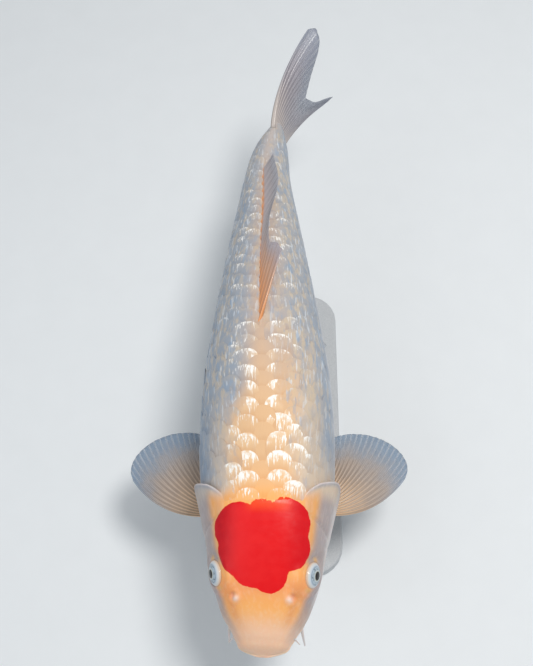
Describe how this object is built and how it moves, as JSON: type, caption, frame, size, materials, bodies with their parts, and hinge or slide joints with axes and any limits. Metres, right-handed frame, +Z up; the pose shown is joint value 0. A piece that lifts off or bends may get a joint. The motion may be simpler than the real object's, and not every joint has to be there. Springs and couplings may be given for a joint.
{
  "type": "koi carp display model",
  "caption": "Life-size still model of a pearl-white koi carp with one red head spot, on a flat base with two short rods.",
  "frame": {"origin": "centre of the display base's underside", "axes": "+Y from head to tail, +X to the fish's left, +Z up"},
  "size_m": [0.2522, 0.5833, 0.2492],
  "materials": {
    "skin": "wet pearly cream with silver sparkle on each scale",
    "fin": "translucent web between cream rays",
    "eye": "silver-white iris and black pupil under a clear coat",
    "stand_base": "satin white",
    "stand_rod": "satin"
  },
  "bodies": {
    "root": {"head": "skin", "lower_jaw": "skin", "gill_cover_left": "skin", "gill_cover_right": "skin", "trunk_front": "skin", "trunk_rear": "skin", "tail_stem": "skin", "feeler_corner_left": "skin", "feeler_corner_right": "skin", "feeler_lip_left": "skin", "feeler_lip_right": "skin", "eye_left": "eye", "eye_right": "eye", "pectoral_fin_left": "fin", "pectoral_fin_right": "fin", "dorsal_fin": "fin", "pelvic_fin_left": "fin", "pelvic_fin_right": "fin", "anal_fin": "fin", "caudal_fin_upper": "fin", "caudal_fin_lower": "fin", "stand_base": "stand_base", "stand_rod_front": "stand_rod", "stand_rod_rear": "stand_rod"}
  },
  "joints": []
}
